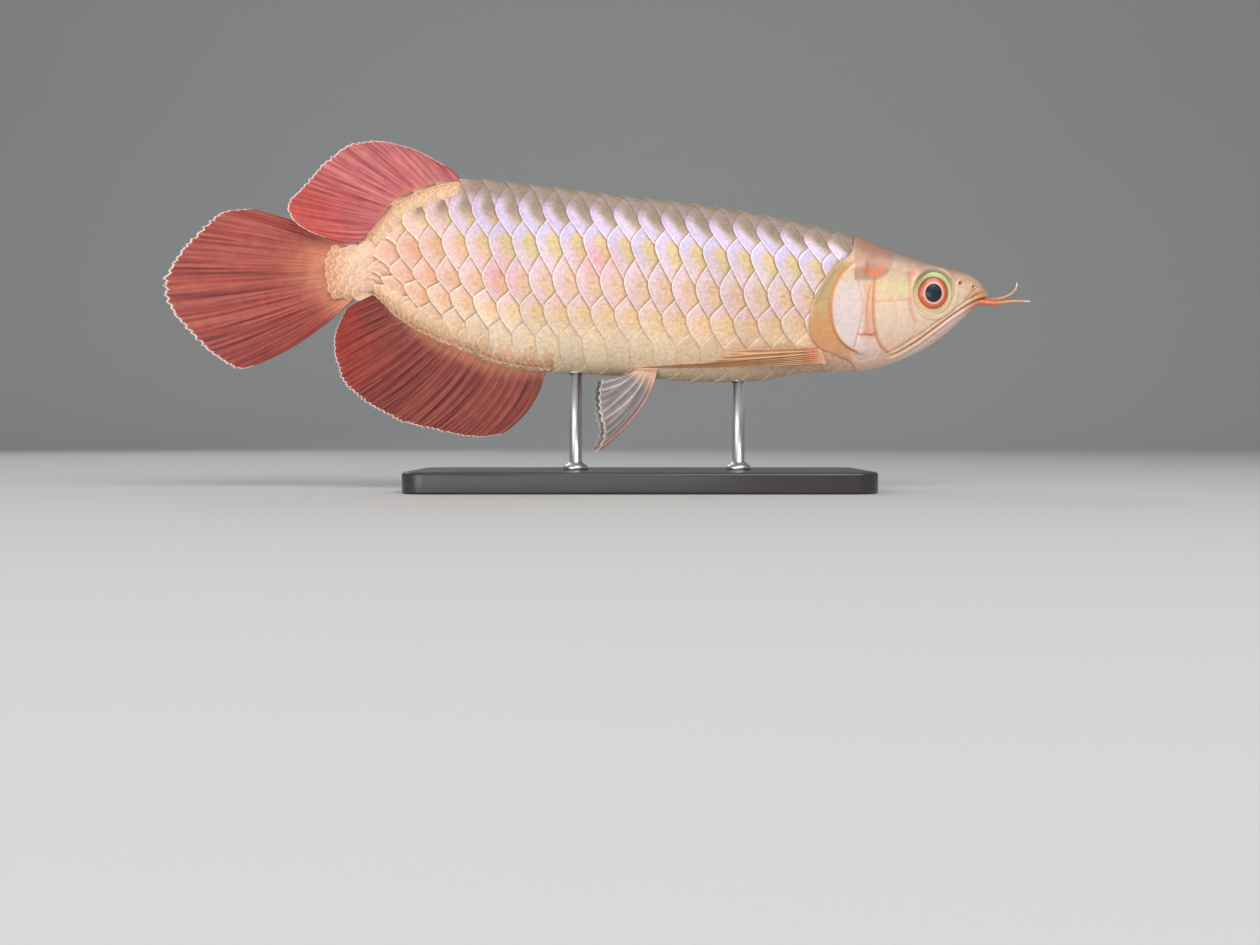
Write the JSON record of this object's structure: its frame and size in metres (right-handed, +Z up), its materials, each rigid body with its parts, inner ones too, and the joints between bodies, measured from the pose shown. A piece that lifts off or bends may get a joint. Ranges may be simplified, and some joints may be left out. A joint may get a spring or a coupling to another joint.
{
  "type": "asian arowana model on a stand",
  "caption": "Life-size still model of an Asian arowana swimming, with large raised scales, rayed fins and chin barbels, held by rods on a flat base.",
  "frame": {"origin": "centre of the bounding box at the underside of the stand's base", "axes": "+X to the fish's head along its length, +Y to its left side, +Z up"},
  "size_m": [0.4199, 0.09, 0.1687],
  "materials": {
    "head_skin": "wet cream skin with a pearl sheen",
    "gill_cover": "pearly bone plate under thin skin",
    "eye": "clear wet dome over a red-brown iris",
    "barbel": "smooth orange skin",
    "scales": "pearly scales with a lilac and olive sheen",
    "red_fin": "dusky red membrane between darker rays",
    "pale_fin": "thin translucent membrane",
    "stand_base": "satin black",
    "stand_rod": "brushed"
  },
  "bodies": {
    "root": {"head": "head_skin", "lower_jaw": "head_skin", "gill_cover_right": "gill_cover", "gill_cover_left": "gill_cover", "eye_right": "eye", "eye_left": "eye", "barbel_right": "barbel", "barbel_left": "barbel", "torso_front": "scales", "torso_rear": "scales", "tail_stalk": "scales", "dorsal_fin": "red_fin", "caudal_fin": "red_fin", "anal_fin": "red_fin", "pelvic_fin_right": "pale_fin", "pelvic_fin_left": "pale_fin", "pectoral_fin_right": "pale_fin", "pectoral_fin_left": "pale_fin", "stand_base": "stand_base", "stand_rod_front": "stand_rod", "stand_rod_rear": "stand_rod"}
  },
  "joints": []
}
